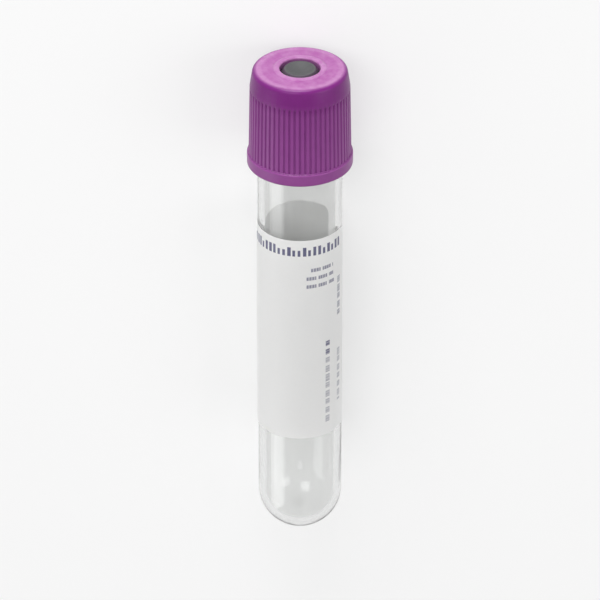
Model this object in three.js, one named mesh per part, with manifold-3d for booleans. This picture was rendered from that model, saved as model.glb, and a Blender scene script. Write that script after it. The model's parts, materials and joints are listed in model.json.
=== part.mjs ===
// A 13 x 75 mm evacuated blood collection tube, lying on its side as it comes to rest on a bench.
// It has four pieces: a clear moulded tube with a round bottom, a wrapped paper label, a rubber stopper,
// and the ribbed plastic shield that holds the stopper and pulls off the tube with it.
//
// Every piece is drawn about its own axis, with y measured up the tube from the tip of its round bottom.
// The assembly is then laid down, so that +X runs along the tube towards the cap and +Z is up. Millimetres.
import * as THREE from "three";
import { mergeVertices } from "three/addons/utils/BufferGeometryUtils.js";
import Module from "manifold-3d";

// ---- driving dimensions ----
const SIDES = 36; // flats round every turned surface
const CLEARANCE = 0.05; // radial gap at running and wrapped fits

const TUBE_LENGTH = 75;
const TUBE_RADIUS = 6.5;
const WALL = 0.95; // at the mouth
const DRAFT = 0.0025; // the bore narrows by this for each millimetre towards the base
const BASE_THICKNESS = 1.2;
const RIM_ROUND = 0.3;

const LABEL_BOTTOM = 19.2;
const LABEL_HEIGHT = 35.5;
const LABEL_WIDTH = 36; // round the tube
const LABEL_THICKNESS = 0.1;
const LABEL_CORNER = 1.2;
const LABEL_EDGE_TURN = THREE.MathUtils.degToRad(80); // from straight up to the label's right edge

const CAP_RISE = 6.3; // of the cap's top above the tube's mouth
const CAP_HEIGHT = 16.3;
const CAP_TOP_RADIUS = 7.2;
const CAP_EDGE_ROUND = 0.5;
const CAP_PLATE = 2; // thickness of the cap's top
const BAND_HEIGHT = 3.1; // of the smooth band above the ribs
const BAND_FOOT_RADIUS = 7.65;
const SKIRT_FOOT_RADIUS = 7.85; // over the ribs
const NEEDLE_HOLE_RADIUS = 3.2;
const HOLE_CHAMFER = 0.3;
const RIB_COUNT = 60;
const GROOVE_DEPTH = 0.18; // of the grooves between the ribs
const GROOVE_FADE = 0.6; // length over which a groove runs out at its top
const GROOVE_PROFILE = [[0, 1], [0.2, 1], [0.35, 0], [0.85, 0]]; // share of the pitch, share of the depth
const RIB_RING_WALL = 0.5; // of the ring that carries the ribs, which is sunk into the cap's wall
const RIB_RING_TUCK = 0.1; // depth of that ring's top edge under the band's surface
const FLANGE_RADIUS = 8.1;
const FLANGE_HEIGHT = 2;
const FLANGE_ROUND = 0.25;
const SKIRT_BORE = 6.8;
const LEAD_IN = 0.2; // widening of the skirt's bore at its foot
const LEAD_IN_HEIGHT = 0.6;
const SNAP_BORE = 6.6; // of the bead that holds the stopper's head in
const SNAP_DROP = 0.1; // of the bead below the tube's mouth
const SNAP_HEIGHT = 0.8;
const SNAP_SLOPE = 0.2; // height of the slope at each end of the bead

const PLUG_LENGTH = 9.4; // of the stopper below the tube's mouth
const PLUG_GROOVE = 0.25;
const PLUG_EDGE = 0.4; // bevel at the plug's foot
const PLUG_RINGS = 3;
const PLUG_RING_CREST = 0.9;
const PLUG_NECK = 1.6; // plain length between the rings and the head
const PLUG_HOLLOW_RADIUS = 2.6;
const SEPTUM_BELOW = 0.4; // the hollow under the stopper ends this far below the mouth
const HEAD_RADIUS = 6.75;
const HEAD_ROUND = 0.3;
const TARGET_DROP = 0.15; // of the rubber below the cap's top
const TARGET_RADIUS = 2.5; // at the top, inside a tapering groove round it
const TARGET_HEIGHT = 0.9; // of the tapering part
const WELL_RADIUS = 2.25;
const WELL_DEPTH = 0.6;

// ---- places worked out from them ----
const MOUTH = TUBE_LENGTH;
const CAP_TOP = MOUTH + CAP_RISE;
const CAP_FOOT = CAP_TOP - CAP_HEIGHT;
const BAND_FOOT = CAP_TOP - BAND_HEIGHT;
const PLATE_UNDERSIDE = CAP_TOP - CAP_PLATE;
const FLANGE_TOP = CAP_FOOT + FLANGE_HEIGHT;
const boreAt = (y) => TUBE_RADIUS - WALL - DRAFT * (MOUTH - y);

const v2 = (r, y) => new THREE.Vector2(r, y);

// Points on a quarter turn about (r, y), from one angle to the other, in degrees from the radial direction.
function arc(r, y, radius, from, to, steps) {
  const points = [];
  for (let i = 0; i <= steps; i++) {
    const turn = THREE.MathUtils.degToRad(from + ((to - from) * i) / steps);
    points.push(v2(r + radius * Math.cos(turn), y + radius * Math.sin(turn)));
  }
  return points;
}

// A turned solid. Its flats are set so that one of them faces straight down when the tube lies on its side.
function turned(profile) {
  return new THREE.LatheGeometry(profile, SIDES, Math.PI / SIDES);
}

// A closed skin over loops of points that have the same number of points each. The last loop joins the
// first where ring is true, and otherwise both end loops, which are convex, are closed with fans.
function lofted(loops, ring) {
  const around = loops[0].length;
  const index = [];
  const at = (loop, i) => (loop % loops.length) * around + (i % around);
  for (let loop = 0; loop < loops.length - (ring ? 0 : 1); loop++) {
    for (let i = 0; i < around; i++) {
      const a = at(loop, i);
      const b = at(loop, i + 1);
      const c = at(loop + 1, i + 1);
      const d = at(loop + 1, i);
      index.push(a, b, c, a, c, d);
    }
  }
  for (let i = 1; !ring && i < around - 1; i++) {
    index.push(at(0, 0), at(0, i + 1), at(0, i));
    const last = loops.length - 1;
    index.push(at(last, 0), at(last, i), at(last, i + 1));
  }
  const geometry = new THREE.BufferGeometry().setFromPoints(loops.flat());
  return geometry.setIndex(index);
}

// The point at a height y, a radius and a turn about the tube's axis, where a turn of 0 is on top.
function onTube(radius, y, turn) {
  return new THREE.Vector3(radius * Math.sin(turn), y, radius * Math.cos(turn));
}

// ---- booleans ----
const wasm = await Module();
wasm.setup();

function solidOf(geometry) {
  const bare = geometry.index ? geometry.toNonIndexed() : geometry.clone();
  bare.deleteAttribute("normal");
  bare.deleteAttribute("uv");
  const merged = mergeVertices(bare, 1e-4);
  return new wasm.Manifold(
    new wasm.Mesh({
      numProp: 3,
      vertProperties: merged.attributes.position.array,
      triVerts: new Uint32Array(merged.index.array),
    }),
  );
}

function geometryOf(solid) {
  const mesh = solid.getMesh();
  const geometry = new THREE.BufferGeometry();
  geometry.setAttribute("position", new THREE.BufferAttribute(mesh.vertProperties, 3));
  geometry.setIndex(new THREE.BufferAttribute(mesh.triVerts, 1));
  geometry.computeVertexNormals();
  return geometry;
}

// ---- the pieces ----
// The tube: a round-bottomed cylinder with a drafted bore and a rounded rim, moulded in one piece.
function tubeGeometry() {
  const innerBase = boreAt(TUBE_RADIUS);
  const bottom = arc(0, TUBE_RADIUS, TUBE_RADIUS, -90, 0, 9);
  const rimOuter = arc(TUBE_RADIUS - RIM_ROUND, MOUTH - RIM_ROUND, RIM_ROUND, 0, 90, 3);
  const rimInner = arc(boreAt(MOUTH) + RIM_ROUND, MOUTH - RIM_ROUND, RIM_ROUND, 90, 180, 3);
  const hollow = [];
  const hollowHeight = TUBE_RADIUS - BASE_THICKNESS;
  for (const p of arc(0, 0, 1, 0, -90, 8)) {
    hollow.push(v2(innerBase * p.x, TUBE_RADIUS + hollowHeight * p.y));
  }
  return turned([...bottom, ...rimOuter, ...rimInner, ...hollow]);
}

// The label: one sheet with rounded corners, wrapped most of the way round and leaving a clear window.
function labelGeometry() {
  const radius = TUBE_RADIUS + CLEARANCE;
  const turnOf = (distance) => distance / radius;
  const right = LABEL_EDGE_TURN;
  const left = right - turnOf(LABEL_WIDTH);
  const turns = [];
  const cornerSteps = 4;
  for (let i = 0; i <= cornerSteps; i++) {
    const inward = turnOf(LABEL_CORNER * (1 - Math.cos((i / cornerSteps) * (Math.PI / 2))));
    turns.push(left + inward, right - inward);
  }
  const flat = (2 * Math.PI) / SIDES;
  for (let turn = flat / 2 - 2 * Math.PI; turn < right; turn += flat) {
    if (turn > left + turnOf(LABEL_CORNER) && turn < right - turnOf(LABEL_CORNER)) {
      turns.push(turn);
    }
  }
  turns.sort((a, b) => a - b);
  const loops = turns.map((turn) => {
    const fromEdge = Math.min(turn - left, right - turn) * radius;
    const into = Math.max(0, LABEL_CORNER - fromEdge);
    const cut = LABEL_CORNER - Math.sqrt(Math.max(0, LABEL_CORNER ** 2 - into ** 2));
    const low = LABEL_BOTTOM + cut;
    const high = LABEL_BOTTOM + LABEL_HEIGHT - cut;
    const outer = radius + LABEL_THICKNESS;
    return [
      onTube(radius, low, turn),
      onTube(radius, high, turn),
      onTube(outer, high, turn),
      onTube(outer, low, turn),
    ];
  });
  return lofted(loops, false);
}

// The stopper: a headed rubber plug with sealing rings, hollow below, and with a shallow well on top for
// the needle.
function stopperGeometry() {
  const foot = MOUTH - PLUG_LENGTH;
  const sealRadius = boreAt(foot) - CLEARANCE;
  const neck = sealRadius - PLUG_GROOVE;
  const ceiling = MOUTH - SEPTUM_BELOW;
  const profile = [
    ...arc(0, ceiling - PLUG_HOLLOW_RADIUS, PLUG_HOLLOW_RADIUS, 90, 0, 5),
    v2(PLUG_HOLLOW_RADIUS, foot + PLUG_EDGE),
    v2(PLUG_HOLLOW_RADIUS + PLUG_EDGE, foot),
    v2(neck - PLUG_EDGE, foot),
    v2(neck, foot + PLUG_EDGE),
  ];
  const ringPitch = (PLUG_LENGTH - PLUG_EDGE - PLUG_NECK) / PLUG_RINGS;
  for (let i = 0; i < PLUG_RINGS; i++) {
    const middle = foot + PLUG_EDGE + ringPitch * (i + 0.5);
    profile.push(v2(sealRadius, middle - PLUG_RING_CREST / 2));
    profile.push(v2(sealRadius, middle + PLUG_RING_CREST / 2));
    profile.push(v2(neck, middle + ringPitch / 2));
  }
  const headFoot = MOUTH + CLEARANCE;
  const headTop = PLATE_UNDERSIDE - CLEARANCE;
  const target = CAP_TOP - TARGET_DROP;
  const boss = NEEDLE_HOLE_RADIUS - 2 * CLEARANCE;
  const headCentre = HEAD_RADIUS - HEAD_ROUND;
  const wellRound = (WELL_RADIUS ** 2 + WELL_DEPTH ** 2) / (2 * WELL_DEPTH);
  const wellEdge = THREE.MathUtils.radToDeg(Math.acos(WELL_RADIUS / wellRound));
  profile.push(
    v2(neck, headFoot),
    ...arc(headCentre, headFoot + HEAD_ROUND, HEAD_ROUND, -90, 0, 2),
    ...arc(headCentre, headTop - HEAD_ROUND, HEAD_ROUND, 0, 90, 2),
    v2(boss, headTop),
    v2(boss, target - TARGET_HEIGHT),
    v2(TARGET_RADIUS, target),
    ...arc(0, target - WELL_DEPTH + wellRound, wellRound, -wellEdge, -90, 4),
  );
  return turned(profile);
}

// The shield without its ribs: a cap with a needle hole, a pocket and snap bead for the stopper's head,
// a skirt over the tube's neck and a flange at its foot. The skirt is thinned where the ribs' ring goes.
function shieldBody() {
  const pocket = HEAD_RADIUS + 2 * CLEARANCE;
  const ringSeat = BAND_FOOT_RADIUS - RIB_RING_WALL / 2;
  const snapTop = MOUTH - SNAP_DROP;
  const snapFoot = snapTop - SNAP_HEIGHT;
  const flangeCentre = FLANGE_RADIUS - FLANGE_ROUND;
  const profile = [
    v2(SKIRT_BORE + LEAD_IN, CAP_FOOT),
    v2(flangeCentre, CAP_FOOT),
    v2(FLANGE_RADIUS, CAP_FOOT + FLANGE_ROUND),
    ...arc(flangeCentre, FLANGE_TOP - FLANGE_ROUND, FLANGE_ROUND, 0, 90, 2),
    v2(ringSeat, FLANGE_TOP),
    v2(ringSeat, BAND_FOOT - GROOVE_FADE),
    v2(BAND_FOOT_RADIUS, BAND_FOOT),
    ...arc(CAP_TOP_RADIUS - CAP_EDGE_ROUND, CAP_TOP - CAP_EDGE_ROUND, CAP_EDGE_ROUND, 0, 90, 3),
    v2(NEEDLE_HOLE_RADIUS + HOLE_CHAMFER, CAP_TOP),
    v2(NEEDLE_HOLE_RADIUS, CAP_TOP - HOLE_CHAMFER),
    v2(NEEDLE_HOLE_RADIUS, PLATE_UNDERSIDE),
    v2(pocket, PLATE_UNDERSIDE),
    v2(pocket, snapTop),
    v2(SNAP_BORE, snapTop - SNAP_SLOPE),
    v2(SNAP_BORE, snapFoot + SNAP_SLOPE),
    v2(SKIRT_BORE, snapFoot),
    v2(SKIRT_BORE, CAP_FOOT + LEAD_IN_HEIGHT),
    v2(SKIRT_BORE + LEAD_IN, CAP_FOOT),
  ];
  return turned(profile);
}

// The ring of grip ribs, from inside the flange to the foot of the band. The ribs are flush with the band,
// and the grooves between them have sloping flanks and run out at their tops, where the ring passes under
// the band's surface.
function ribRing() {
  const inside = BAND_FOOT_RADIUS - RIB_RING_WALL;
  const foot = FLANGE_TOP - FLANGE_HEIGHT / 4;
  const full = BAND_FOOT - GROOVE_FADE;
  const top = BAND_FOOT - RIB_RING_TUCK;
  const loop = (y, crest, depth) => {
    const points = [];
    for (let rib = 0; rib < RIB_COUNT; rib++) {
      for (const [share, sunk] of GROOVE_PROFILE) {
        const turn = ((rib + share) / RIB_COUNT) * 2 * Math.PI;
        points.push(onTube(crest - sunk * depth, y, turn));
      }
    }
    return points;
  };
  return lofted(
    [
      loop(foot, inside, 0),
      loop(foot, SKIRT_FOOT_RADIUS, GROOVE_DEPTH),
      loop(full, BAND_FOOT_RADIUS, GROOVE_DEPTH),
      loop(top, BAND_FOOT_RADIUS - RIB_RING_TUCK, 0),
      loop(top, inside, 0),
    ],
    true,
  );
}

function shieldGeometry() {
  return geometryOf(solidOf(shieldBody()).add(solidOf(ribRing())));
}

// ---- the assembly ----
function piece(name, geometry, colour, roughness, opacity = 1) {
  const material = new THREE.MeshStandardMaterial({
    color: colour,
    roughness,
    metalness: 0,
    transparent: opacity < 1,
    opacity,
  });
  const mesh = new THREE.Mesh(geometry, material);
  mesh.name = name;
  return mesh;
}

const upright = new THREE.Group();
upright.add(
  piece("tube", tubeGeometry(), 0xe8eceb, 0.08, 0.35),
  piece("label", labelGeometry(), 0xf1f1ee, 0.6),
  piece("stopper", stopperGeometry(), 0x6a7073, 0.75),
  piece("cap_shield", shieldGeometry(), 0x9c3f9e, 0.3),
);

// Lying down, the tube rests on the foot of the cap's flange and on the shoulder of its round bottom,
// so its axis slopes up a little towards the cap.
const flatShare = Math.cos(Math.PI / SIDES);
const flangeContact = CAP_FOOT + FLANGE_ROUND;
const slope = Math.atan(
  (flatShare * (FLANGE_RADIUS - TUBE_RADIUS)) / (flangeContact - TUBE_RADIUS),
);
upright.rotation.z = -Math.PI / 2;
const lying = new THREE.Group();
lying.add(upright);
lying.rotation.y = -slope;

// The origin is under the middle of the tube, on the surface that it lies on.
const box = new THREE.Box3().setFromObject(lying, true);
const centre = box.getCenter(new THREE.Vector3());
lying.position.set(-centre.x, -centre.y, -box.min.z);

const part = new THREE.Group();
part.add(lying);

export default part;
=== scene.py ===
# %% [markdown]
# # A blood collection tube
#
# The object is a clear plastic tube with a round bottom, lying on its side on a pale bench. A paper label is
# wrapped most of the way round it. A grey rubber stopper closes its mouth, and a purple cap with fine ribs
# holds the stopper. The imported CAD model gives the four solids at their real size, with flats round them.
# This lesson dresses it: each solid gets a smooth skin of the same form, and each skin a finish of its own.
#
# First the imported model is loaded. It is the fixed frame that everything below is measured from.

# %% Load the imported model
import json
import math

import bpy
import numpy as np
from mathutils import Matrix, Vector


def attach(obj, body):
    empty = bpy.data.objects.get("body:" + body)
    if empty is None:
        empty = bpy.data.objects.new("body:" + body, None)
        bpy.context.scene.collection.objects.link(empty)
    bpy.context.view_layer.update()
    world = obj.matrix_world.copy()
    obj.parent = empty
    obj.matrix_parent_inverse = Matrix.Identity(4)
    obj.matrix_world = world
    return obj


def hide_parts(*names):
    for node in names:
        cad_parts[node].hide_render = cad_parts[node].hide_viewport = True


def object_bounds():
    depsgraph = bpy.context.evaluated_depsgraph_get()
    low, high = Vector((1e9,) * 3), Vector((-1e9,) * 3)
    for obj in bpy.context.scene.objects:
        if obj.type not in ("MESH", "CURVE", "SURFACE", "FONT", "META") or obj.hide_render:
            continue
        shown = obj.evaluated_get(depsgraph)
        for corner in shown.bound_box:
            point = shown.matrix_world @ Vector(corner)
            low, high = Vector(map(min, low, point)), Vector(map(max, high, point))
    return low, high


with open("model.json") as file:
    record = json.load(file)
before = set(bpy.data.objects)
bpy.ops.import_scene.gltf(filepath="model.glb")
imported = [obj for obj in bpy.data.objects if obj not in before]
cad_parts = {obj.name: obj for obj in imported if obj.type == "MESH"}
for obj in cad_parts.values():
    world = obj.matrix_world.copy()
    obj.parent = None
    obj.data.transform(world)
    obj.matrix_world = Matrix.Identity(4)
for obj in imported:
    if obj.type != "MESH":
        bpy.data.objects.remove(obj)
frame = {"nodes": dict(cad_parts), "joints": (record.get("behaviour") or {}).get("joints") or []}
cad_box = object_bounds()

MM = 0.001  # the script counts in millimetres, and Blender in metres
NEAR = 0.01  # in mm, within which two heights or two radii count as the same
print("CAD box in mm:", [[round(c / MM, 2) for c in corner] for corner in cad_box])

# %% [markdown]
# ## The tube's own axis
#
# The tube doesn't lie level, because its cap is wider than its body. All four pieces are turned about one
# slanting axis, so it is simplest to describe them with three numbers: a radius, a height up the tube from
# the tip of its bottom, and a turn about the axis. The cap pulls off along that axis, so the joint in the
# record gives its direction. The middle of the tube's rim is a point on it.

# %% Find the axis and measure the solids along it
AXIS = np.array(frame["joints"][0]["axis"], float)
AXIS /= np.linalg.norm(AXIS)
RIGHT = np.array([0.0, -1.0, 0.0])  # for someone who looks down at the tube, with its cap away from them
UP = np.cross(RIGHT, AXIS)


def points_of(piece):
    """The points of a piece's mesh, one in each row, in metres."""
    vertices = piece.data.vertices
    flat = np.empty(len(vertices) * 3)
    vertices.foreach_get("co", flat)
    return flat.reshape(-1, 3)


tube_points = points_of(frame["nodes"]["tube"])
tube_along = tube_points @ AXIS
rim = tube_points[tube_along > tube_along.max() - NEAR * MM]
MOUTH_CENTRE = (rim.min(0) + rim.max(0)) / 2
TIP = MOUTH_CENTRE - AXIS * np.ptp(tube_along)


def reach(node):
    """Lowest height, highest height and greatest radius of a CAD node, in mm from the tube's tip and axis."""
    offset = points_of(frame["nodes"][node]) - TIP
    height = offset @ AXIS
    radius = np.linalg.norm(offset - height[:, None] * AXIS, axis=1)
    return height.min() / MM, height.max() / MM, radius.max() / MM


TUBE_FOOT, MOUTH, TUBE_RADIUS = reach("tube")
LABEL_FOOT, LABEL_TOP, LABEL_RADIUS = reach("label")
PLUG_FOOT, RUBBER_TOP, HEAD_RADIUS = reach("stopper")
CAP_FOOT, CAP_TOP, FLANGE_RADIUS = reach("cap_shield")
print(f"tube {2 * TUBE_RADIUS:.2f} mm across")
for name, foot, top in [
    ("tube", TUBE_FOOT, MOUTH),
    ("label", LABEL_FOOT, LABEL_TOP),
    ("stopper", PLUG_FOOT, RUBBER_TOP),
    ("cap", CAP_FOOT, CAP_TOP),
]:
    print(f"{name} from {foot:.2f} to {top:.2f} mm up the tube")

# %% [markdown]
# ## Skins
#
# A turned piece could be made with a Screw or Spin modifier. Here it is worked out with numpy, because a
# whole surface is then one short formula, and because the cap's ribs need a radius that changes with the
# turn, which a modifier can't give. A skin is a grid of points: its rows follow the profile, and its columns
# go round. Two things must be right at the end. Every edge has a face on both sides, and the faces point out,
# which the sign of the enclosed volume shows.


# %% Place points about the axis, and measure what a skin encloses
def place(radius, height, turn):
    """Points in metres, from a radius and a height in mm and a turn in radians, which broadcast together.
    Point = tip + height * axis + radius * (cos(turn) * up + sin(turn) * right)."""
    radius, height, turn = (a[..., None] for a in np.broadcast_arrays(radius, height, turn))
    outward = np.cos(turn) * UP + np.sin(turn) * RIGHT
    return TIP + MM * (height * AXIS + radius * outward)


def enclosed(points, faces):
    """The volume inside a closed skin of four-cornered faces: the sum of signed wedges from the middle."""
    a, b, c, d = (points[faces[:, i]] - points.mean(0) for i in range(4))
    wedge = np.einsum("ij,ij->i", a, np.cross(b, c)) + np.einsum("ij,ij->i", a, np.cross(c, d))
    return wedge.sum() / 6


# %% Turn a grid of points into a mesh
WELD = 0.0005  # in mm: points that fall in one step of this size become one
SHARP_DEGREES = 40


def skin(name, grid, rows_close, columns_close=True):
    """A mesh object over grid[row, column]. Each face joins two neighbouring rows and two neighbouring
    columns. The last row joins the first where rows_close is true, and so do the columns. Points that fall
    together, as a row on the axis does, become one."""
    rows, columns = grid.shape[:2]
    index = np.arange(rows * columns).reshape(rows, columns)
    if rows_close:
        index = np.vstack([index, index[:1]])
    if columns_close:
        index = np.hstack([index, index[:, :1]])
    faces = np.stack([index[:-1, :-1], index[:-1, 1:], index[1:, 1:], index[1:, :-1]], -1).reshape(-1, 4)
    points = grid.reshape(-1, 3)
    cells = np.round(points / (WELD * MM)).astype(np.int64)
    _, first, same = np.unique(cells, axis=0, return_index=True, return_inverse=True)
    points, faces = points[first], same.reshape(-1)[faces]
    if enclosed(points, faces) < 0:
        faces = faces[:, ::-1]
    next_corner = np.roll(faces, -1, axis=1)
    keep = faces != next_corner
    loops = faces[keep]
    sizes = keep.sum(1)
    sizes = sizes[sizes > 2]
    mesh = bpy.data.meshes.new(name)
    mesh.vertices.add(len(points))
    mesh.vertices.foreach_set("co", points.astype(np.float32).ravel())
    mesh.loops.add(len(loops))
    mesh.loops.foreach_set("vertex_index", loops.astype(np.int32))
    mesh.polygons.add(len(sizes))
    mesh.polygons.foreach_set("loop_start", np.concatenate([[0], np.cumsum(sizes)[:-1]]).astype(np.int32))
    mesh.update(calc_edges=True)
    mesh.validate()
    mesh.shade_smooth()
    mesh.set_sharp_from_angle(angle=math.radians(SHARP_DEGREES))
    piece = bpy.data.objects.new(name, mesh)
    bpy.context.scene.collection.objects.link(piece)
    closed = len(mesh.loops) == 2 * len(mesh.edges)
    volume = enclosed(points, faces) / MM**3
    print(f"{name}: {len(mesh.polygons)} faces, closed: {closed}, {volume:.1f} mm3 inside")
    return piece


# %% [markdown]
# ## Profiles
#
# Every moulded edge has a small radius, and those radii are what catch the light. A profile is therefore
# written as its sharp corners, each with the radius that rounds it off, and one function draws the arcs.
# Long straight stretches get a point close to each end. Without them, smooth shading would spread the turn
# of the arc over the whole flat, and it would look swollen.


# %% Draw a profile from its corners
def rounded(corner_list, arc_steps=5, hold=0.05):
    """A profile through corners given as (radius, height, rounding). A corner with a rounding of r is cut
    off at distance d = r / tan(half the corner's angle) on both sides, and an arc of radius r joins the
    cuts. Each arc has a further point at the distance hold before and after it."""
    path = []
    count = len(corner_list)
    for i, (x, y, r) in enumerate(corner_list):
        here = np.array([x, y], float)
        if r == 0 or i in (0, count - 1):
            path.append(here)
            continue
        before = np.array(corner_list[i - 1][:2], float) - here
        after = np.array(corner_list[i + 1][:2], float) - here
        to_before = before / np.linalg.norm(before)
        to_after = after / np.linalg.norm(after)
        half = math.acos(np.clip(to_before @ to_after, -1, 1)) / 2
        cut = r / math.tan(half)
        middle = to_before + to_after
        centre = here + middle / np.linalg.norm(middle) * r / math.sin(half)
        start = here + to_before * cut - centre
        stop = here + to_after * cut - centre
        sweep = math.pi - 2 * half
        if start[0] * stop[1] - start[1] * stop[0] < 0:
            sweep = -sweep
        angle = math.atan2(start[1], start[0]) + np.linspace(0, sweep, arc_steps + 1)
        path.append(here + to_before * (cut + hold))
        path.extend(centre + r * np.stack([np.cos(angle), np.sin(angle)], -1))
        path.append(here + to_after * (cut + hold))
    return np.array(path)


def turned(name, profile, rows_close, columns=160):
    """A skin whose columns are copies of one profile: radius and height stay, and the turn goes round."""
    turn = np.linspace(0, 2 * math.pi, columns, endpoint=False)
    grid = place(profile[:, :1], profile[:, 1:2], turn[None, :])
    return skin(name, grid, rows_close)


# %% [markdown]
# ## The tube
#
# The real tube is blown or injected in clear polyester, in one piece: a straight outer wall, a bore that
# narrows a little towards the bottom so that the core pulls out, a rounded rim, and a round bottom. Light
# bends twice at each wall, so a clear tube only looks right with a real inner surface. Its bottom carries the
# small mark that the plastic was let in through.

# %% Choose the tube's sizes
WALL = 0.95
DRAFT = 0.0025
BASE_THICKNESS = 1.2
RIM_ROUND = 0.3
GATE_RADIUS = 0.9
GATE_DEPTH = 0.12


def bore_at(height):
    """The bore's radius at a height: it loses the draft for each millimetre below the mouth."""
    return TUBE_RADIUS - WALL - DRAFT * (MOUTH - height)


def quarter(radius, depth, centre_height, steps=20):
    """A quarter of an ellipse from the axis, at depth below centre_height, out to the wall at centre_height.
    With the angle t from 0 to 90 degrees: r = radius * sin t, height = centre height - depth * cos t."""
    angle = np.linspace(0, math.pi / 2, steps + 1)
    return np.stack([radius * np.sin(angle), centre_height - depth * np.cos(angle)], -1)


# %% Make the tube
outer_bottom = quarter(TUBE_RADIUS, TUBE_RADIUS, TUBE_RADIUS, steps=32)
gate = np.clip(1 - outer_bottom[:, 0] / GATE_RADIUS, 0, 1)
outer_bottom[:, 1] += GATE_DEPTH * np.sin(gate * math.pi / 2) ** 2
rim_corners = [
    (TUBE_RADIUS, TUBE_RADIUS, 0),
    (TUBE_RADIUS, MOUTH, RIM_ROUND),
    (bore_at(MOUTH), MOUTH, RIM_ROUND),
    (bore_at(TUBE_RADIUS), TUBE_RADIUS, 0),
]
wall = rounded(rim_corners)
inner_bottom = quarter(bore_at(TUBE_RADIUS), TUBE_RADIUS - BASE_THICKNESS, TUBE_RADIUS)[::-1]
tube_profile = np.vstack([outer_bottom, wall[1:], inner_bottom[1:]])
tube = turned("tube_skin", tube_profile, rows_close=False)
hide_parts("tube")
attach(tube, "tube_body")

# %% [markdown]
# ## The label
#
# The label is one sheet of coated paper with rounded corners. It goes most of the way round and leaves a
# clear window, where the blood can be seen. It could be a flat sheet bent with a Simple Deform modifier, but
# on a cylinder the bend is exact and short to write: the distance along the paper, divided by the radius, is
# the turn. The sheet keeps its own flat coordinates as an attribute, and the printing is drawn in those.

# %% Bend the sheet round the tube
PAPER = 0.1
LABEL_WIDTH = 36.0
LABEL_EDGE_TURN = math.radians(80)
LABEL_CORNER = 1.2
LABEL_INNER = LABEL_RADIUS - PAPER
LABEL_HEIGHT = LABEL_TOP - LABEL_FOOT


def label_grid(columns=144, rows=40):
    """The sheet's two faces as one loop of rows, with a column for each distance across.
    Across = width * (1 - cos t) / 2, so that columns crowd at the edges, and turn = edge turn - (width -
    across) / radius. Near an edge the rows draw in by corner - sqrt(corner^2 - d^2), d deep in the corner."""
    across = LABEL_WIDTH * (1 - np.cos(np.linspace(0, math.pi, columns))) / 2
    depth = np.clip(LABEL_CORNER - np.minimum(across, LABEL_WIDTH - across), 0, None)
    drawn_in = LABEL_CORNER - np.sqrt(np.clip(LABEL_CORNER**2 - depth**2, 0, None))
    up = LABEL_FOOT + drawn_in + np.linspace(0, 1, rows)[:, None] * (LABEL_HEIGHT - 2 * drawn_in)
    turn = LABEL_EDGE_TURN - (LABEL_WIDTH - across) / LABEL_INNER
    inner = place(LABEL_INNER, up, turn)
    outer = place(LABEL_RADIUS, up[::-1], turn)
    faces = np.vstack([inner, outer])
    edge_line = (faces + faces[::-1]) / 2  # halfway through the paper, where the two edges are pressed shut
    return np.hstack([edge_line[:, :1], faces, edge_line[:, -1:]])


# %% Keep the sheet's flat coordinates
EDGE_SLACK = 0.01  # in radians, by which a point may lie past the sheet's right edge


def flat_coordinates(piece):
    """Gives each vertex its place on the flat sheet: across from the left edge and up from the foot, in mm,
    and its depth, from 0 on the glued face to 1 on the printed one. Across = width - (edge turn - turn) *
    radius, up = height above the label's foot, and depth = (distance from the axis - radius) / paper."""
    offset = points_of(piece) - TIP
    turn = np.arctan2(offset @ RIGHT, offset @ UP)
    turn = np.where(turn > LABEL_EDGE_TURN + EDGE_SLACK, turn - 2 * math.pi, turn)
    across = LABEL_WIDTH - (LABEL_EDGE_TURN - turn) * LABEL_INNER
    up = offset @ AXIS / MM - LABEL_FOOT
    from_axis = np.hypot(offset @ RIGHT, offset @ UP) / MM
    depth = (from_axis - LABEL_INNER) / PAPER
    attribute = piece.data.attributes.new("sheet", "FLOAT_VECTOR", "POINT")
    attribute.data.foreach_set("vector", np.stack([across, up, depth], -1).astype(np.float32).ravel())
    print(f"sheet: {np.ptp(across):.2f} mm across and {np.ptp(up):.2f} mm up")


# %% Make the label
label = skin("label_skin", label_grid(), rows_close=True, columns_close=False)
flat_coordinates(label)
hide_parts("label")
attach(label, "tube_body")

# %% [markdown]
# ## The stopper
#
# The stopper is one piece of moulded rubber. Its head is held in the cap. From the head a low target for the
# needle stands up into the cap's hole, with a dished top and a groove round it that the light doesn't reach.
# Its plug has three sealing rings and is hollow from below. It is turned, like the tube.

# %% Choose the stopper's sizes
CLEARANCE = 0.05
PLATE = 2.0
HOLE_RADIUS = 3.1
TARGET_RADIUS = 2.4
TARGET_HEIGHT = 0.9
DISH_RADIUS = 2.15
DISH_DEPTH = 0.6
HOLLOW_RADIUS = 2.6
SEPTUM_FOOT = MOUTH - 0.4
PLUG_EDGE = 0.4
PLUG_NECK = 1.6
RING_STAND = 0.25
RING_TOP_HALF = 0.45
RING_FOOT_HALF = 0.72
RING_COUNT = 3
HOLLOW_ROUND = 0.8
LIP_ROUND = 0.15
RING_ROUND = 0.2
HEAD_ROUND = 0.3
TARGET_ROUND = 0.2
DISH_STEPS = 13
DOME_HOLD = 0.1  # below the dome, where a further point keeps the shading of the wall straight
HEAD_TOP = CAP_TOP - PLATE - CLEARANCE
HEAD_FOOT = MOUTH + CLEARANCE
BOSS_RADIUS = HOLE_RADIUS - 2 * CLEARANCE
SEAL_RADIUS = bore_at(PLUG_FOOT) - CLEARANCE
NECK_RADIUS = SEAL_RADIUS - RING_STAND
print(f"plug {2 * SEAL_RADIUS:.2f} mm across its rings, and head from {HEAD_FOOT:.2f} to {HEAD_TOP:.2f} mm")


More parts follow.
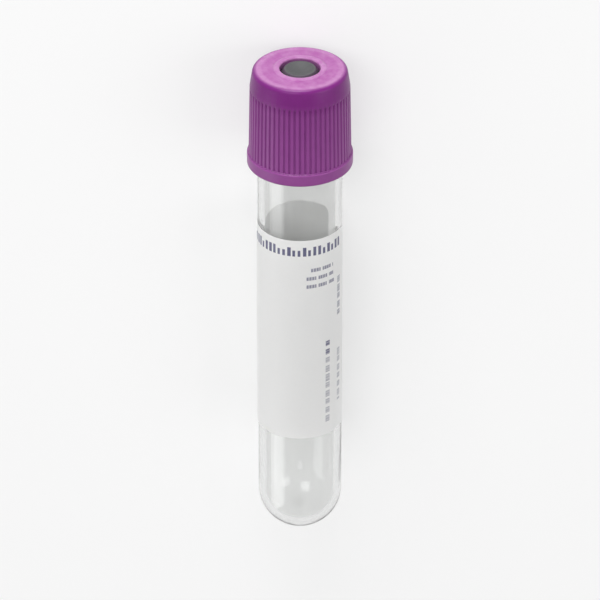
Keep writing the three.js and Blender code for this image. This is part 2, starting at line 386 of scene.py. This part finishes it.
# %% Make the stopper
def stopper_profile():
    """Round the hollow's dome and down its wall, up the plug over its rings, round the head, up the target
    that stands in the needle hole, and into its dish. Dish height = target - depth * (1 - (r / radius)^2)."""
    dome_foot = SEPTUM_FOOT - HOLLOW_RADIUS
    hollow = quarter(HOLLOW_RADIUS, -HOLLOW_RADIUS, dome_foot, steps=10)
    foot = [
        (HOLLOW_RADIUS, dome_foot - DOME_HOLD, 0),
        (HOLLOW_RADIUS, PLUG_FOOT + PLUG_EDGE, HOLLOW_ROUND),
        (HOLLOW_RADIUS + PLUG_EDGE, PLUG_FOOT, LIP_ROUND),
        (NECK_RADIUS, PLUG_FOOT, PLUG_EDGE),
    ]
    pitch = (MOUTH - PLUG_FOOT - PLUG_EDGE - PLUG_NECK) / RING_COUNT
    rings = []
    for i in range(RING_COUNT):
        middle = PLUG_FOOT + PLUG_EDGE + pitch * (i + 0.5)
        rings += [
            (NECK_RADIUS, middle - RING_FOOT_HALF, RING_ROUND),
            (SEAL_RADIUS, middle - RING_TOP_HALF, RING_ROUND),
            (SEAL_RADIUS, middle + RING_TOP_HALF, RING_ROUND),
            (NECK_RADIUS, middle + RING_FOOT_HALF, RING_ROUND),
        ]
    head = [
        (NECK_RADIUS, HEAD_FOOT, RING_ROUND),
        (HEAD_RADIUS, HEAD_FOOT, HEAD_ROUND),
        (HEAD_RADIUS, HEAD_TOP, HEAD_ROUND),
        (BOSS_RADIUS, HEAD_TOP, 0),
        (BOSS_RADIUS, RUBBER_TOP - TARGET_HEIGHT, TARGET_ROUND),
        (TARGET_RADIUS, RUBBER_TOP, TARGET_ROUND),
        (DISH_RADIUS, RUBBER_TOP, 0),
    ]
    share = np.linspace(1, 0, DISH_STEPS + 1)[1:]
    dish = np.stack([DISH_RADIUS * share, RUBBER_TOP - DISH_DEPTH * (1 - share**2)], -1)
    return np.vstack([hollow, rounded(foot + rings + head), dish])


stopper = turned("stopper_skin", stopper_profile(), rows_close=False, columns=128)
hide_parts("stopper")
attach(stopper, "closure")

# %% [markdown]
# ## The cap
#
# The cap is a thin plastic shell. From the top down it has a flat ring with a soft bead round the needle
# hole, a smooth band, a skirt with fine ribs for the fingers, and a smooth flange. The ribs are flush with
# the band, so it is the grooves between them that are modelled. The skin follows one profile as the other
# pieces do, and each row also carries a share from 0 to 1 of how deep the grooves are there. The grooves
# themselves are a wave round the turn, narrow, with broad flat ribs between them.

# %% Choose the cap's sizes
RIB_COUNT = 60
GROOVE_DEPTH = 0.18
GROOVE_FADE = 0.6
COLUMNS_PER_RIB = 12
BAND_FOOT = CAP_TOP - 3.1
FLANGE_TOP = CAP_FOOT + 2
TOP_RADIUS = 7.2
TOP_ROUND = 0.7
BAND_FOOT_RADIUS = 7.65
SKIRT_FOOT_RADIUS = 7.85
SKIRT_BORE = 6.8
LEAD_IN = 0.2
LEAD_IN_HEIGHT = 0.6
SNAP_BORE = 6.6
SNAP_TOP = MOUTH - 0.1
SNAP_HEIGHT = 0.8
BEAD_FOOT_RADIUS = HOLE_RADIUS + 0.9
BEAD_STAND = 0.18
SLOPE = 0.2  # across which the bead and the snap bead rise
FLANGE_ROUND = 0.3
FLANGE_TOP_ROUND = 0.25
BEAD_ROUND = 0.3
HOLE_ROUND = 0.25
POCKET_ROUND = 0.15
LEAD_IN_ROUND = 0.2
FINE_ROUND = 0.1
CORNER_ROUND = 0.08
rib_pitch = 2 * math.pi * SKIRT_FOOT_RADIUS / RIB_COUNT
print(f"cap {CAP_TOP - CAP_FOOT:.2f} mm tall, with {RIB_COUNT} ribs {rib_pitch:.2f} mm apart")


# %% Draw the cap's profile
def cap_outside():
    """Profile from the foot of the bore, under the flange, up the skirt and band, over the top ring, and
    down the needle hole."""
    ring_height = CAP_TOP - BEAD_STAND
    return rounded([
        (SKIRT_BORE + LEAD_IN, CAP_FOOT, 0),
        (FLANGE_RADIUS, CAP_FOOT, FLANGE_ROUND),
        (FLANGE_RADIUS, FLANGE_TOP, FLANGE_TOP_ROUND),
        (SKIRT_FOOT_RADIUS, FLANGE_TOP, CORNER_ROUND),
        (BAND_FOOT_RADIUS, BAND_FOOT, 0),
        (TOP_RADIUS, ring_height, TOP_ROUND),
        (BEAD_FOOT_RADIUS + SLOPE, ring_height, BEAD_ROUND),
        (BEAD_FOOT_RADIUS - SLOPE, CAP_TOP, BEAD_ROUND),
        (HOLE_RADIUS, CAP_TOP, HOLE_ROUND),
        (HOLE_RADIUS, CAP_TOP - PLATE, 0),
    ])


def cap_inside():
    """Profile from the needle hole out to the pocket for the stopper's head, and down past the snap bead."""
    pocket = HEAD_RADIUS + 2 * CLEARANCE
    snap_foot = SNAP_TOP - SNAP_HEIGHT
    return rounded([
        (HOLE_RADIUS, CAP_TOP - PLATE, 0),
        (pocket, CAP_TOP - PLATE, POCKET_ROUND),
        (pocket, SNAP_TOP, FINE_ROUND),
        (SNAP_BORE, SNAP_TOP - SLOPE, CORNER_ROUND),
        (SNAP_BORE, snap_foot + SLOPE, CORNER_ROUND),
        (SKIRT_BORE, snap_foot, FINE_ROUND),
        (SKIRT_BORE, CAP_FOOT + LEAD_IN_HEIGHT, LEAD_IN_ROUND),
        (SKIRT_BORE + LEAD_IN, CAP_FOOT, 0),
    ], arc_steps=3)


# %% Cut the grooves and make the cap
SKIRT_ROWS = 6
FADE_ROWS = 9
CREST_SHARE = 0.25  # of the pitch, from the middle of a rib's crest to its edge
FLANK_SHARE = 0.18  # of the pitch, from the edge of a crest to the floor of the groove


def smooth(x):
    """0 below 0 and 1 above 1, with an even S between: 3x^2 - 2x^3."""
    x = np.clip(x, 0, 1)
    return x * x * (3 - 2 * x)


def with_rib_rows(path):
    """Puts rows into the skirt's long straight stretch: a few along it and many where the grooves run out."""
    is_skirt = (path[:-1, 1] < BAND_FOOT - NEAR) & (path[1:, 1] > BAND_FOOT - NEAR)
    i = int(np.flatnonzero(is_skirt)[0])
    a, b = path[i], path[i + 1]
    fade_start = 1 - GROOVE_FADE / (b[1] - a[1])
    along_skirt = np.linspace(0, fade_start, SKIRT_ROWS)[1:-1]
    along_fade = np.linspace(fade_start, 1, FADE_ROWS)[:-1]
    rows = a + np.concatenate([along_skirt, along_fade])[:, None] * (b - a)
    return np.vstack([path[: i + 1], rows, path[i + 1 :]])


def groove_wave(turn):
    """How deep the surface lies at a turn, from 0 on a rib's crest to 1 in a groove, with smooth flanks.
    With d the distance from the crest's middle, as a share of the pitch: smooth((d - crest) / flank)."""
    from_middle = np.abs(turn * RIB_COUNT / (2 * math.pi) % 1 - 0.5)
    return smooth((from_middle - CREST_SHARE) / FLANK_SHARE)


def cap_grid():
    """Radius = profile radius - depth * row share * wave of the turn. The heights are the profile's own."""
    outside = with_rib_rows(cap_outside())
    path = np.vstack([outside, cap_inside()[1:-1]])
    on_skirt = (path[:, 0] > BAND_FOOT_RADIUS - NEAR) & (path[:, 0] < SKIRT_FOOT_RADIUS + NEAR)
    on_skirt &= (path[:, 1] > FLANGE_TOP - NEAR) & (path[:, 1] < BAND_FOOT + NEAR)
    share = smooth((BAND_FOOT - path[:, 1]) / GROOVE_FADE) * on_skirt
    turn = np.linspace(0, 2 * math.pi, RIB_COUNT * COLUMNS_PER_RIB, endpoint=False)
    radius = path[:, :1] - GROOVE_DEPTH * share[:, None] * groove_wave(turn)[None, :]
    return place(radius, path[:, 1:2], turn[None, :])


cap = skin("cap_skin", cap_grid(), rows_close=True)
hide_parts("cap_shield")
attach(cap, "closure")

# %% [markdown]
# ## Shader sums
#
# A finish is a small sum over the surface: a mask here, a ripple there. Wiring Math nodes by hand hides that
# sum, so this class lets a material be written as Python. It wraps a socket, and an operator on it adds the
# Math node. Any other node comes from its one method.


# %% A socket that can be reckoned with
class Flow:
    """A number, vector or colour that leaves a node. With no socket, it is a material's empty node tree."""

    def __init__(self, tree, socket=None):
        self.tree = tree
        self.socket = socket

    def node(self, kind, settings=None, inputs=None, output=0):
        """Adds a node, applies its settings, then fills its sockets with values or with other flows."""
        node = self.tree.nodes.new(kind)
        for key, value in (settings or {}).items():
            setattr(node, key, value)
        for key, value in (inputs or {}).items():
            if isinstance(value, Flow):
                self.tree.links.new(value.socket, node.inputs[key])
            else:
                node.inputs[key].default_value = value
        return Flow(self.tree, node.outputs[output] if len(node.outputs) else None)

    def math(self, operation, *terms):
        """Adds a Math node that works on these terms."""
        return self.node("ShaderNodeMath", {"operation": operation}, dict(enumerate(terms)))

    def __add__(self, other):
        return self.math("ADD", self, other)

    def __sub__(self, other):
        return self.math("SUBTRACT", self, other)

    def __rsub__(self, other):
        return self.math("SUBTRACT", other, self)

    def __mul__(self, other):
        return self.math("MULTIPLY", self, other)

    def __truediv__(self, other):
        return self.math("DIVIDE", self, other)

    def __gt__(self, other):
        return self.math("GREATER_THAN", self, other)

    def __lt__(self, other):
        return self.math("LESS_THAN", self, other)

    __radd__ = __add__
    __rmul__ = __mul__


# %% Start a material and finish it
def new_material(name):
    """A material with an empty tree, and a flow to start from."""
    material = bpy.data.materials.new(name)
    material.use_nodes = True
    material.node_tree.nodes.clear()
    return material, Flow(material.node_tree)


def surface(start, sockets):
    """A Principled surface with these sockets, joined to the material's output."""
    shader = start.node("ShaderNodeBsdfPrincipled", None, sockets)
    start.node("ShaderNodeOutputMaterial", None, {"Surface": shader})


def coat(piece, material):
    """Gives a piece its one material, and prints how many nodes that took."""
    piece.data.materials.append(material)
    print(f"{piece.name}: {material.name}, {len(material.node_tree.nodes)} nodes")


# %% Masks, colours and bumps
def clamped(value):
    """The value, kept between 0 and 1."""
    return value.node("ShaderNodeClamp", None, {"Value": value})


def ramp(value, zero_at, one_at):
    """0 where the value is zero_at and 1 where it is one_at, on a straight slope, and level beyond them."""
    return clamped((value - zero_at) / (one_at - zero_at))


def within(value, low, high):
    """1 where low < value < high, and 0 elsewhere."""
    return (value > low) * (value < high)


def two_colours(factor, first, second):
    """The first colour where factor is 0 and the second where it is 1, through a Mix node."""
    return factor.node("ShaderNodeMix", {"data_type": "RGBA"}, {0: factor, 6: first, 7: second}, output=2)


def bump(height, distance):
    """The surface normal tilted by a height from 0 to 1 that stands for the distance in metres."""
    return height.node("ShaderNodeBump", None, {"Height": height, "Distance": distance})


def noise(point, scale, detail=2.0):
    """A soft random field between 0 and 1, with grains about 1 / scale across."""
    return point.node("ShaderNodeTexNoise", None, {"Vector": point, "Scale": scale, "Detail": detail})


def stretched(point, along, across):
    """The point with its X scaled by along and its Y and Z by across, for a grain that runs up the tube."""
    return point.node("ShaderNodeMapping", None, {"Vector": point, "Scale": (along, across, across)})


# %% Find the place on a piece
def object_point(start):
    """The surface point in the piece's own Object coordinates, in metres."""
    return start.node("ShaderNodeTexCoord", output=3)


def about_axis(point):
    """Radius and height of a point about the tube's axis, in mm. With the offset = point - tip:
    height = offset . axis, and radius = square root of (offset . up)^2 + (offset . right)^2."""
    offset = point.node("ShaderNodeVectorMath", {"operation": "SUBTRACT"}, {0: point, 1: tuple(TIP)})

    def part_along(direction):
        inputs = {0: offset, 1: tuple(direction)}
        return offset.node("ShaderNodeVectorMath", {"operation": "DOT_PRODUCT"}, inputs, output=1)

    up = part_along(UP)
    right = part_along(RIGHT)
    square = up * up + right * right
    return square.math("SQRT", square) / MM, part_along(AXIS) / MM


# %% [markdown]
# ## Clear plastic
#
# Clear moulded polyester is smooth, bends light about as much as glass does, and is never quite even: the
# wall ripples a little along the way that the plastic flowed. The light has to pass, so this is transmission
# with a faint grey tint, and the ripples are a very low bump. Cycles sends no lamp light straight through a
# surface that bends it, which would leave the inside of the tube in the dark. So for shadow rays alone, the
# wall is a plain pane that lets nine tenths of the light through.

# %% Finish the tube
clear, start = new_material("clear_polyester")
ripple = noise(stretched(object_point(start), 60.0, 400.0), 1.0, detail=1.0)
wall = start.node("ShaderNodeBsdfPrincipled", None, {
    "Base Color": two_colours(ripple, (0.82, 0.825, 0.82, 1), (0.87, 0.875, 0.87, 1)),
    "Roughness": 0.03 + ripple * 0.03,
    "IOR": 1.57,
    "Transmission Weight": 1.0,
    "Normal": bump(ripple, 0.00002),
})
pane = start.node("ShaderNodeBsdfTransparent", None, {"Color": (0.96, 0.96, 0.96, 1)})
shadow_ray = start.node("ShaderNodeLightPath", output=1)
either = start.node("ShaderNodeMixShader", None, {0: shadow_ray, 1: wall, 2: pane})
start.node("ShaderNodeOutputMaterial", None, {"Surface": either})
coat(tube, clear)

# %% [markdown]
# ## Rubber
#
# The stopper's rubber is dark grey and dull, with the faint grain of its mould. In the groove round the
# target a purple tinge is painted, as a reflection of the wall of the cap's hole, which stands close to it.

# %% Finish the stopper
rubber, start = new_material("grey_rubber")
point = object_point(start)
radius, height = about_axis(point)
grain = noise(point, 2500.0, detail=3.0)
cloud = noise(point, 350.0)
# the groove round the target, where a painted purple reflection of the cap's hole wall goes
groove_painted_reflection = ramp(radius, TARGET_RADIUS - 0.1, TARGET_RADIUS) * (height > HEAD_TOP - 0.1)
face = two_colours(cloud, (0.047, 0.048, 0.050, 1), (0.059, 0.060, 0.062, 1))
surface(start, {
    "Base Color": two_colours(groove_painted_reflection, face, (0.058, 0.040, 0.060, 1)),
    "Roughness": 0.55 + grain * 0.2,
    "Normal": bump(grain, 0.00003),
})
coat(stopper, rubber)

# %% [markdown]
# ## Purple plastic
#
# The cap is moulded in a soft plastic, dyed right through. Light goes a little way into it, which softens its
# shadows, so part of its colour is subsurface. The top face is painted paler than the sides, as the lit face,
# with a painted highlight on the bead and along the outer edge, and it is a little cloudy. It carries faint
# rings from the turned mould, and the sides a fine draw along the way that the mould opened. The band is
# painted darker as shade and the skirt lighter as glow, stronger towards its foot, because the thin skirt
# lets more light through than the thick band does. Between the ribs the colour is painted a little deeper, as
# shade. The wall of the needle hole is painted lighter, as a glow.

# %% Mark out the places on the cap
purple, start = new_material("purple_plastic")
point = object_point(start)
radius, height = about_axis(point)
SKIRT_SLOPE = (SKIRT_FOOT_RADIUS - BAND_FOOT_RADIUS) / (BAND_FOOT - FLANGE_TOP)
crest = SKIRT_FOOT_RADIUS - (height - FLANGE_TOP) * SKIRT_SLOPE
between_ribs = clamped((crest - radius) / GROOVE_DEPTH) * within(height, FLANGE_TOP, BAND_FOOT)
# how far the top's painted paleness, as the lit face, reaches: on the bead, and on the ring out to the edge's
# rounding
BEAD_PALE_FOOT = CAP_TOP - 0.35
EDGE_PALE_FOOT = CAP_TOP - 1.0
PALE_RADIUS = 7.05
PALE_FADE = 0.5
# where the painted highlight along the outer edge of the top ring starts, and the width over which it comes
# in
EDGE_HIGHLIGHT_RADIUS = 5.7
EDGE_HIGHLIGHT_FADE = 0.33
bead_top = (height > BEAD_PALE_FOOT) * (radius < BEAD_FOOT_RADIUS)
ring_fade = ramp(radius, PALE_RADIUS, PALE_RADIUS - PALE_FADE)
ring_top = (height > EDGE_PALE_FOOT) * (radius > BEAD_FOOT_RADIUS) * ring_fade
top_face = bead_top + ring_top
# painted highlight along the outer edge of the top ring and on the bead round the hole
painted_edge_highlight = ring_top * ramp(radius, EDGE_HIGHLIGHT_RADIUS, EDGE_HIGHLIGHT_RADIUS + EDGE_HIGHLIGHT_FADE)
painted_rim_highlight = bead_top * (radius > HOLE_RADIUS) + painted_edge_highlight
# painted shade on the band, and painted glow on the skirt below it that grows towards the foot, as light
# through the thin wall
painted_glow_below_band = ramp(height, BAND_FOOT + 0.5, BAND_FOOT - 1.5)
painted_glow_towards_foot = ramp(height, BAND_FOOT, BAND_FOOT - 12.0)
painted_glow_on_skirt = painted_glow_below_band * 0.6 + painted_glow_towards_foot * 0.4
# the wall of the needle hole, which is painted lighter as a glow
painted_glow_in_hole = (radius < HOLE_RADIUS + 0.3) * (height > CAP_TOP - PLATE)

# %% Mix the purples and finish the cap
RING_RATE = 14.0  # in radians for each mm, which puts the rings 0.45 mm apart
lathe_rings = (radius * RING_RATE).math("SINE", radius * RING_RATE) * 0.5 + 0.5
mottle = noise(point, 500.0, detail=3.0)
clouds = ramp(noise(point, 900.0, detail=3.0), 0.35, 0.65)
draw_marks = noise(stretched(point, 150.0, 1800.0), 1.0)
relief = lathe_rings * top_face * 0.3 + mottle * 0.4 + draw_marks * (1 - top_face) * 0.3
# the band's purple is painted darker as shade, and the skirt's lighter as glow
band_purple_in_painted_shade = two_colours(mottle, (0.135, 0.006, 0.138, 1), (0.160, 0.010, 0.163, 1))
skirt_purple_in_painted_glow = two_colours(mottle, (0.220, 0.046, 0.220, 1), (0.255, 0.060, 0.252, 1))
# painted shade between the ribs, which deepens the purple in the grooves
sides = two_colours(between_ribs * 0.2, two_colours(painted_glow_on_skirt, band_purple_in_painted_shade, skirt_purple_in_painted_glow), (0.120, 0.012, 0.125, 1))
# painted glow on the wall of the needle hole
sides = two_colours(painted_glow_in_hole, sides, (0.300, 0.110, 0.290, 1))
# painted highlight on the bead and the outer edge, together with the real cloudy tone of the plastic
highlight_and_clouds = painted_rim_highlight * 0.36 + clouds * 0.4
# the top's purple, painted paler than the sides as the lit face
painted_lit_top = two_colours(highlight_and_clouds, (0.290, 0.073, 0.261, 1), (0.400, 0.190, 0.375, 1))
surface(start, {
    "Base Color": two_colours(top_face, sides, painted_lit_top),
    "Roughness": 0.3 + mottle * 0.12 + between_ribs * 0.1,
    "IOR": 1.5,
    "Specular IOR Level": 0.25,
    "Subsurface Weight": 0.15,
    "Subsurface Radius": (1.0, 0.35, 0.9),
    "Subsurface Scale": 0.0012,
    "Normal": bump(relief, 0.00002),
})
coat(cap, purple)

# %% [markdown]
# ## Printed paper
#
# The label is white coated paper with slate blue print. Thin paper lets part of the light through, which is
# why the inside of the tube is bright behind it, so here too part of the colour is subsurface. The print is a
# set of masks on the sheet's flat coordinates: a row of upright bars along the top edge, three short rows of
# fine ticks in clusters below it, and two columns of marks along the right side, each in two stretches. A
# line of print is cut into equal cells, and a random number that is fixed for each cell sets how long its
# mark is.

# %% Read the sheet's coordinates
paper, start = new_material("printed_paper")
sheet = start.node("ShaderNodeAttribute", {"attribute_name": "sheet"}, output=1)
across = start.node("ShaderNodeSeparateXYZ", None, {0: sheet}, 0)
up = start.node("ShaderNodeSeparateXYZ", None, {0: sheet}, 1)
printed_face = start.node("ShaderNodeSeparateXYZ", None, {0: sheet}, 2) > 0.75
down = LABEL_HEIGHT - up


def cell_of(value, pitch, seed):
    """The cell that a value falls in on a line of cells: the share of the way through it, from 0 to 1, and a
    random number that is fixed for that cell."""
    steps = value / pitch
    cell = steps.math("FLOOR", steps)
    random = cell.node("ShaderNodeTexWhiteNoise", {"noise_dimensions": "1D"}, {"W": cell + seed})
    return steps.math("FRACT", steps), random


def dashes(value, pitch, seed, shortest, longest):
    """Dashes along a line, one to a cell, each a random length between the two shares of the pitch."""
    share, random = cell_of(value, pitch, seed)
    return share < random * (longest - shortest) + shortest


# %% Print the row of bars
BARS_ACROSS = (11.0, 34.2)
BARS_DOWN = (1.15, 2.7)
BAR_PITCH = 0.8
BAR_START = 0.12  # as shares of the pitch: where a bar starts, where the narrowest ends,
BAR_END = 0.62
BAR_SPREAD = 0.2  # and how much wider the widest is
SHORT_SHARE = 0.3  # of the bars
SHORT_DROP = 0.5
share, kind = cell_of(across, BAR_PITCH, 31.0)
bars = within(share, BAR_START, kind * BAR_SPREAD + BAR_END)
cut_short = (kind < SHORT_SHARE) * (down < BARS_DOWN[0] + SHORT_DROP)
ink = within(across, *BARS_ACROSS) * within(down, *BARS_DOWN) * bars * (1 - cut_short) * 0.95

# %% Print the short rows of ticks
TICK_ROWS = [  # the row's middle down the sheet, and its left and right ends across it
    (5.3, 28.55, 32.55),
    (6.75, 27.85, 32.55),
    (8.15, 27.85, 32.75),
]
ROW_HALF = 0.3
for row, (middle, left, right) in enumerate(TICK_ROWS):
    line = within(down, middle - ROW_HALF, middle + ROW_HALF) * within(across, left, right)
    ticks = dashes(across - left, 0.45, 20.0 + row, 0.6, 0.8) * 0.5 + 0.5
    ink = ink + line * ticks * dashes(across - left, 1.9, 30.0 + row, 0.75, 0.85) * 0.8

# %% Print the columns of marks
STRETCHES = [  # the column's middle across the sheet, where the marks start and stop, and their strength
    (31.44, 18.6, 21.5, 0.9),
    (31.44, 21.6, 33.5, 0.55),
    (34.05, 8.1, 15.0, 0.65),
    (34.05, 21.0, 30.4, 0.5),
]
COLUMN_HALF = 0.4
for stretch, (middle, first, last, strength) in enumerate(STRETCHES):
    strip = within(across, middle - COLUMN_HALF, middle + COLUMN_HALF) * within(down, first, last)
    ticks = dashes(down, 0.5, 50.0 + stretch, 0.6, 0.8) * 0.4 + 0.6
    ink = ink + strip * ticks * dashes(down - first, 1.5, 40.0 + stretch, 0.55, 0.9) * strength
ink = ink * printed_face
print(f"{len(TICK_ROWS)} rows of ticks and {len(STRETCHES)} stretches of marks")

# %% Finish the label
fibre = noise(sheet, 3.0, detail=4.0)
white = two_colours(fibre, (0.88, 0.88, 0.865, 1), (0.92, 0.92, 0.91, 1))
surface(start, {
    "Base Color": two_colours(ink, white, (0.055, 0.055, 0.145, 1)),
    "Roughness": 0.42 + fibre * 0.12 - ink * 0.1,
    "Subsurface Weight": 0.75,
    "Subsurface Radius": (1.0, 1.0, 1.0),
    "Subsurface Scale": 0.0005,
    "Normal": bump(fibre, 0.00001),
})
coat(label, paper)

# %% [markdown]
# ## Bench, light and camera
#
# The bench is a plain plane at the height that the tube rests on. Where it is looked at, it is mixed with
# plain white, and it still shows the tube's soft shadow. To the light it is ordinary pale paper, so the white
# doesn't light the tube. Further off it fades to the white of the surround, so that no edge shows behind the
# tube.
#
# The light is soft. A wide lamp beyond the cap's end lights its flat top full on and only grazes the sides.
# One lamp high on the left and one on the right light the label and the ribs, a weak one low on the left lays
# a streak along the clear wall, and a pale surround does the rest. The camera looks down at about thirty
# degrees to the tube's axis, from the cap's side, through a long lens.

# %% Lay the bench
HALF_BENCH = 1.5
floor_z = cad_box[0].z
floor_mesh = bpy.data.meshes.new("bench")
floor_corners = [(x * HALF_BENCH, y * HALF_BENCH, floor_z) for x, y in [(-1, -1), (1, -1), (1, 1), (-1, 1)]]
floor_mesh.from_pydata(floor_corners, [], [(0, 1, 2, 3)])
floor = bpy.data.objects.new("bench", floor_mesh)
bpy.context.scene.collection.objects.link(floor)
print(f"bench {2 * HALF_BENCH:.1f} m wide at {floor_z / MM:.2f} mm")

# %% Finish the bench
WHITENESS = 0.5  # the share of plain white in what is seen of the bench near the tube
PLAIN_REACH = 0.15  # metres from the tube, out to which that share holds
WHITE_REACH = 0.65  # metres from the tube, past which the bench is as white as the surround


def seen_directly(start):
    """1 for rays from the camera, and for those that left a mirror or went through glass, and 0 for light."""
    camera_ray = start.node("ShaderNodeLightPath", output=0)
    glossy_ray = start.node("ShaderNodeLightPath", output=3)
    clear_ray = start.node("ShaderNodeLightPath", output=6)
    return camera_ray.math("MAXIMUM", camera_ray.math("MAXIMUM", camera_ray, glossy_ray), clear_ray)


bench_finish, start = new_material("pale_bench")
point = object_point(start)
away = point.node("ShaderNodeVectorMath", {"operation": "LENGTH"}, {0: point}, 1)
whiteness = WHITENESS + ramp(away, PLAIN_REACH, WHITE_REACH) * (1 - WHITENESS)
lit = start.node("ShaderNodeBsdfDiffuse", None, {"Color": (0.86, 0.86, 0.86, 1)})
plain = start.node("ShaderNodeEmission", None, {"Color": (1, 1, 1, 1), "Strength": 1.0})
shown = start.node("ShaderNodeMixShader", None, {0: seen_directly(start) * whiteness, 1: lit, 2: plain})
start.node("ShaderNodeOutputMaterial", None, {"Surface": shown})
coat(floor, bench_finish)

# %% Set the surround
SURROUND = 0.5
world = bpy.data.worlds.new("surround")
bpy.context.scene.world = world
world.use_nodes = True
world.node_tree.nodes.clear()
start = Flow(world.node_tree)
level = SURROUND + seen_directly(start) * (1 - SURROUND)
background = start.node("ShaderNodeBackground", None, {"Color": (1, 1, 1, 1), "Strength": level})
start.node("ShaderNodeOutputWorld", None, {"Surface": background})
print(f"the surround lights the tube at {SURROUND} and is seen as white")

# %% Set the lamps
middle = np.array((cad_box[0] + cad_box[1]) / 2)


def aim(obj, direction, distance, picture_up):
    """Puts an object at a distance from the middle of the tube, looking back at it. Its own Z is the
    direction, and its Y is picture_up with what lies along the direction taken out."""
    z = np.array(direction, float) / np.linalg.norm(direction)
    y = np.array(picture_up, float) - (np.array(picture_up, float) @ z) * z
    y /= np.linalg.norm(y)
    matrix = np.eye(4)
    matrix[:3, :3] = np.stack([np.cross(y, z), y, z], -1)
    matrix[:3, 3] = middle + z * distance
    obj.matrix_world = Matrix(matrix.tolist())


LAMP_DISTANCE = 0.9
LAMPS = [  # name, direction from the tube, width in metres, and watts
    ("end_lamp", (1.0, 0.1, 0.1), 0.45, 10.0),
    ("low_left_lamp", (-0.51, 0.82, 0.27), 0.5, 1.1),
    ("high_left_lamp", (0.5, 0.35, 0.85), 0.5, 2.4),
    ("right_lamp", (0.1, -1.0, 0.8), 0.5, 1.8),
]


def lamp(name, direction, size, watts):
    """A square area lamp that faces the tube."""
    light = bpy.data.lights.new(name, "AREA")
    light.size = size
    light.energy = watts
    obj = bpy.data.objects.new(name, light)
    bpy.context.scene.collection.objects.link(obj)
    aim(obj, direction, LAMP_DISTANCE, (0.0, 0.3, 1.0))
    print(f"{name}: {watts} W from {np.round(direction, 2)}")


for name, direction, size, watts in LAMPS:
    lamp(name, direction, size, watts)

# %% Set the camera
CAMERA_TILT = math.radians(30.8)
CAMERA_DISTANCE = 0.94
LENS = 365
camera_data = bpy.data.cameras.new("camera")
camera_data.lens = LENS
camera_data.sensor_width = 36
camera_data.clip_start = 0.05
camera_data.clip_end = 10
camera = bpy.data.objects.new("camera", camera_data)
bpy.context.scene.collection.objects.link(camera)
aim(camera, math.sin(CAMERA_TILT) * AXIS + math.cos(CAMERA_TILT) * UP, CAMERA_DISTANCE, AXIS)
bpy.context.scene.camera = camera
bpy.context.scene.view_settings.view_transform = "Standard"
print(f"camera {CAMERA_DISTANCE} m away with a {LENS} mm lens")
